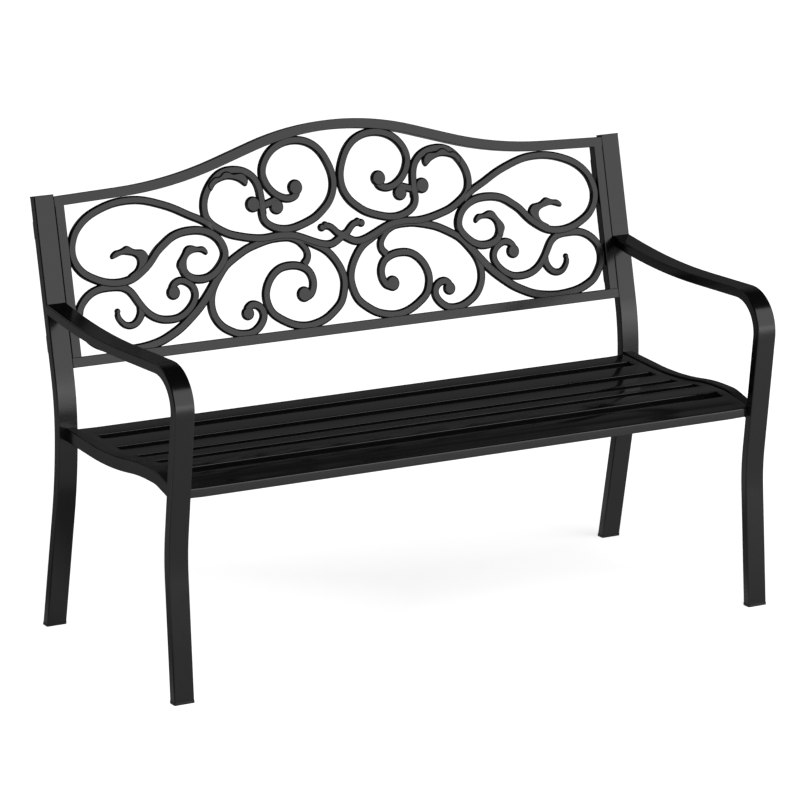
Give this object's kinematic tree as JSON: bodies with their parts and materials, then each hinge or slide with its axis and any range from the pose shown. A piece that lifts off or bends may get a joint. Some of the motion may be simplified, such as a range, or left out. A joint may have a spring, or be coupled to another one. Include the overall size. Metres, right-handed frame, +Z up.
{
  "type": "park bench",
  "caption": "Bent steel tube garden bench with armrests, a slotted sheet seat and an arched back filled with cast scrollwork.",
  "frame": {"origin": "on the floor, at the middle of the bench's footprint", "axes": "+X to the right seen from the front, +Y towards the back of the bench, +Z up; the bench faces -Y"},
  "size_m": [1.2708, 0.5995, 0.8965],
  "materials": {
    "coat": "satin black powder coat",
    "casting_coat": "satin black powder coat on a casting",
    "seat_coat": "satin black powder coat on sheet",
    "plastic": "moulded black plastic",
    "fastener": "blackened steel"
  },
  "bodies": {
    "root": {"left_front_leg_and_arm": "coat", "left_rear_post": "coat", "left_seat_rail": "coat", "left_back_stile": "coat", "left_lower_back_plate": "coat", "left_upper_back_plate": "coat", "right_front_leg_and_arm": "coat", "right_rear_post": "coat", "right_seat_rail": "coat", "right_back_stile": "coat", "right_lower_back_plate": "coat", "right_upper_back_plate": "coat", "back_top_rail": "coat", "back_bottom_rail": "coat", "back_scrollwork": "casting_coat", "seat_panel": "seat_coat", "front_seat_stiffener": "coat", "rear_seat_stiffener": "coat", "left_front_foot_glide": "plastic", "left_rear_foot_glide": "plastic", "left_post_cap": "plastic", "right_front_foot_glide": "plastic", "right_rear_foot_glide": "plastic", "right_post_cap": "plastic", "back_bolts": "fastener", "back_washers": "fastener", "back_rivet_nuts": "fastener", "seat_bolts": "fastener", "seat_washers": "fastener", "seat_rivet_nuts": "fastener"}
  },
  "joints": []
}
